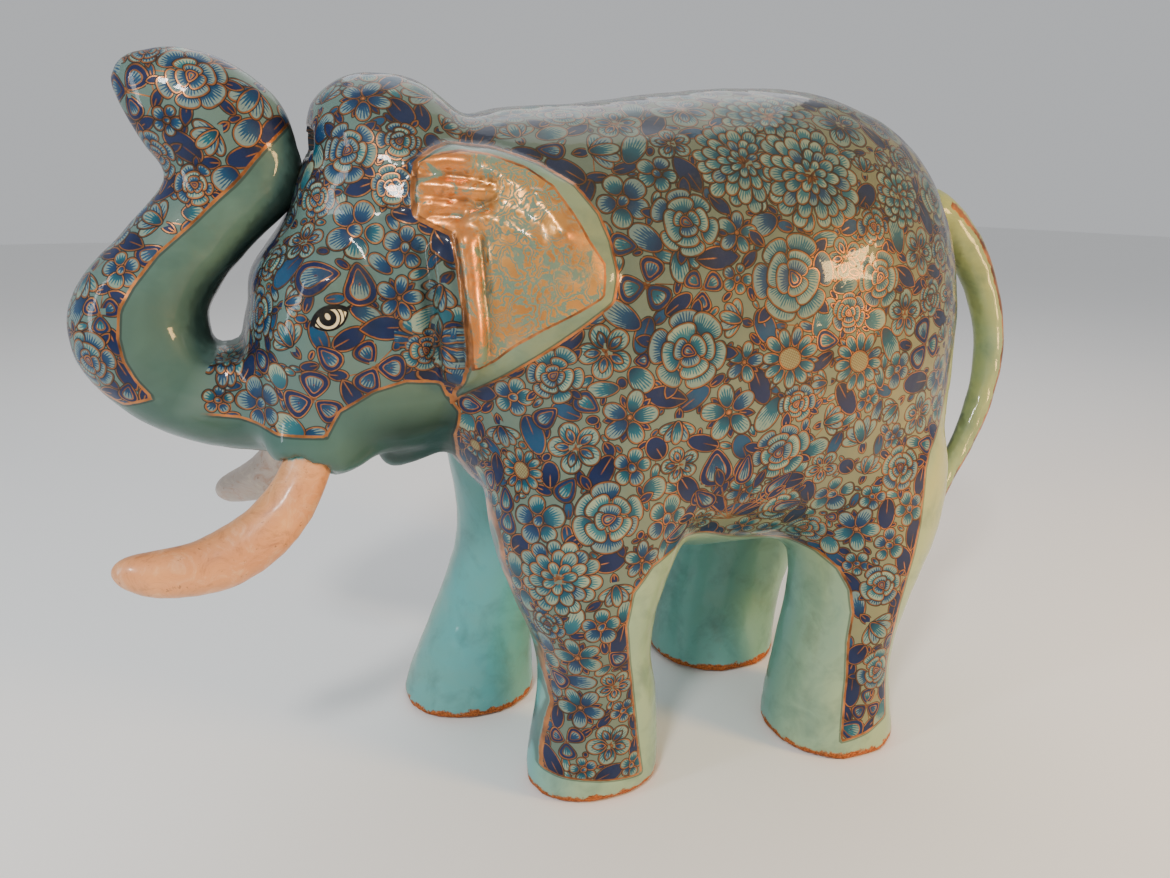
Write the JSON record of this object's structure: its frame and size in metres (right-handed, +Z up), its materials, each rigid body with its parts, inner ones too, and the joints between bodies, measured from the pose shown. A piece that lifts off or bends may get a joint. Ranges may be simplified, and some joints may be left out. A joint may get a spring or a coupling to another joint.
{
  "type": "papier-mache elephant figure",
  "caption": "Standing elephant figure with a raised curled trunk, flat soles, ears laid back, a tail joined to one hind leg and plugged-in tusks.",
  "frame": {"origin": "on the floor, under the middle of the figure's box", "axes": "+Z up, -X is the way the elephant faces, -Y is its left side"},
  "size_m": [0.5682, 0.2344, 0.4105],
  "materials": {
    "painted_paper": "painted papier-mache under clear glossy lacquer",
    "tusk_paint": "ivory-coloured paint under clear lacquer"
  },
  "bodies": {
    "root": {"elephant": "painted_paper", "tusk_left": "tusk_paint", "tusk_right": "tusk_paint"}
  },
  "joints": []
}
